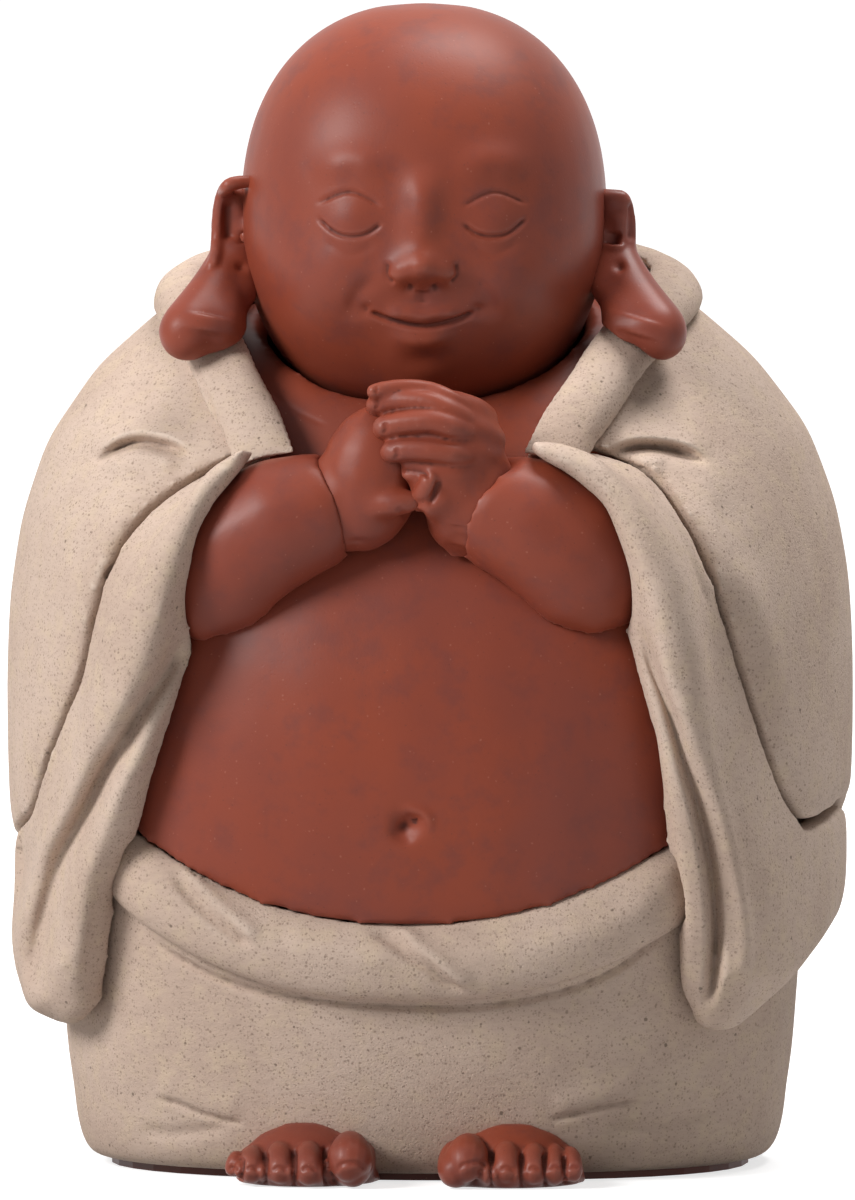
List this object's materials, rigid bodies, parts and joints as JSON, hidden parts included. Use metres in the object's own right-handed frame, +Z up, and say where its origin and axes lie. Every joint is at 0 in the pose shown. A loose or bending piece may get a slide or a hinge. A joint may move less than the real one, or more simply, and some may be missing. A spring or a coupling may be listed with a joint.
{
  "type": "laughing monk statue",
  "caption": "Round-bellied laughing monk standing with folded hands, long ears and wide sleeves, in red and speckled sand-coloured fired clay.",
  "frame": {"origin": "middle of the footprint, on the plane the figure stands on", "axes": "+Z up, the figure faces -Y, its left hand is towards +X"},
  "size_m": [0.1459, 0.1259, 0.2005],
  "materials": {
    "red_clay": "fired purple-red stoneware, unglazed, rubbed to a satin sheen",
    "sand_clay": "fired sand-coloured stoneware, unglazed, gritty, with dark specks"
  },
  "bodies": {
    "root": {"base_slab": "red_clay", "skirt_shell": "sand_clay", "waist_roll": "sand_clay", "torso_shell": "red_clay", "cloak_shell": "sand_clay", "head_shell": "red_clay", "hand_left": "red_clay", "hand_right": "red_clay", "collar_left": "sand_clay", "collar_right": "sand_clay", "sleeve_left": "sand_clay", "sleeve_right": "sand_clay", "forearm_left": "red_clay", "forearm_right": "red_clay", "ear_left": "red_clay", "ear_right": "red_clay", "foot_left": "red_clay", "foot_right": "red_clay"}
  },
  "joints": []
}
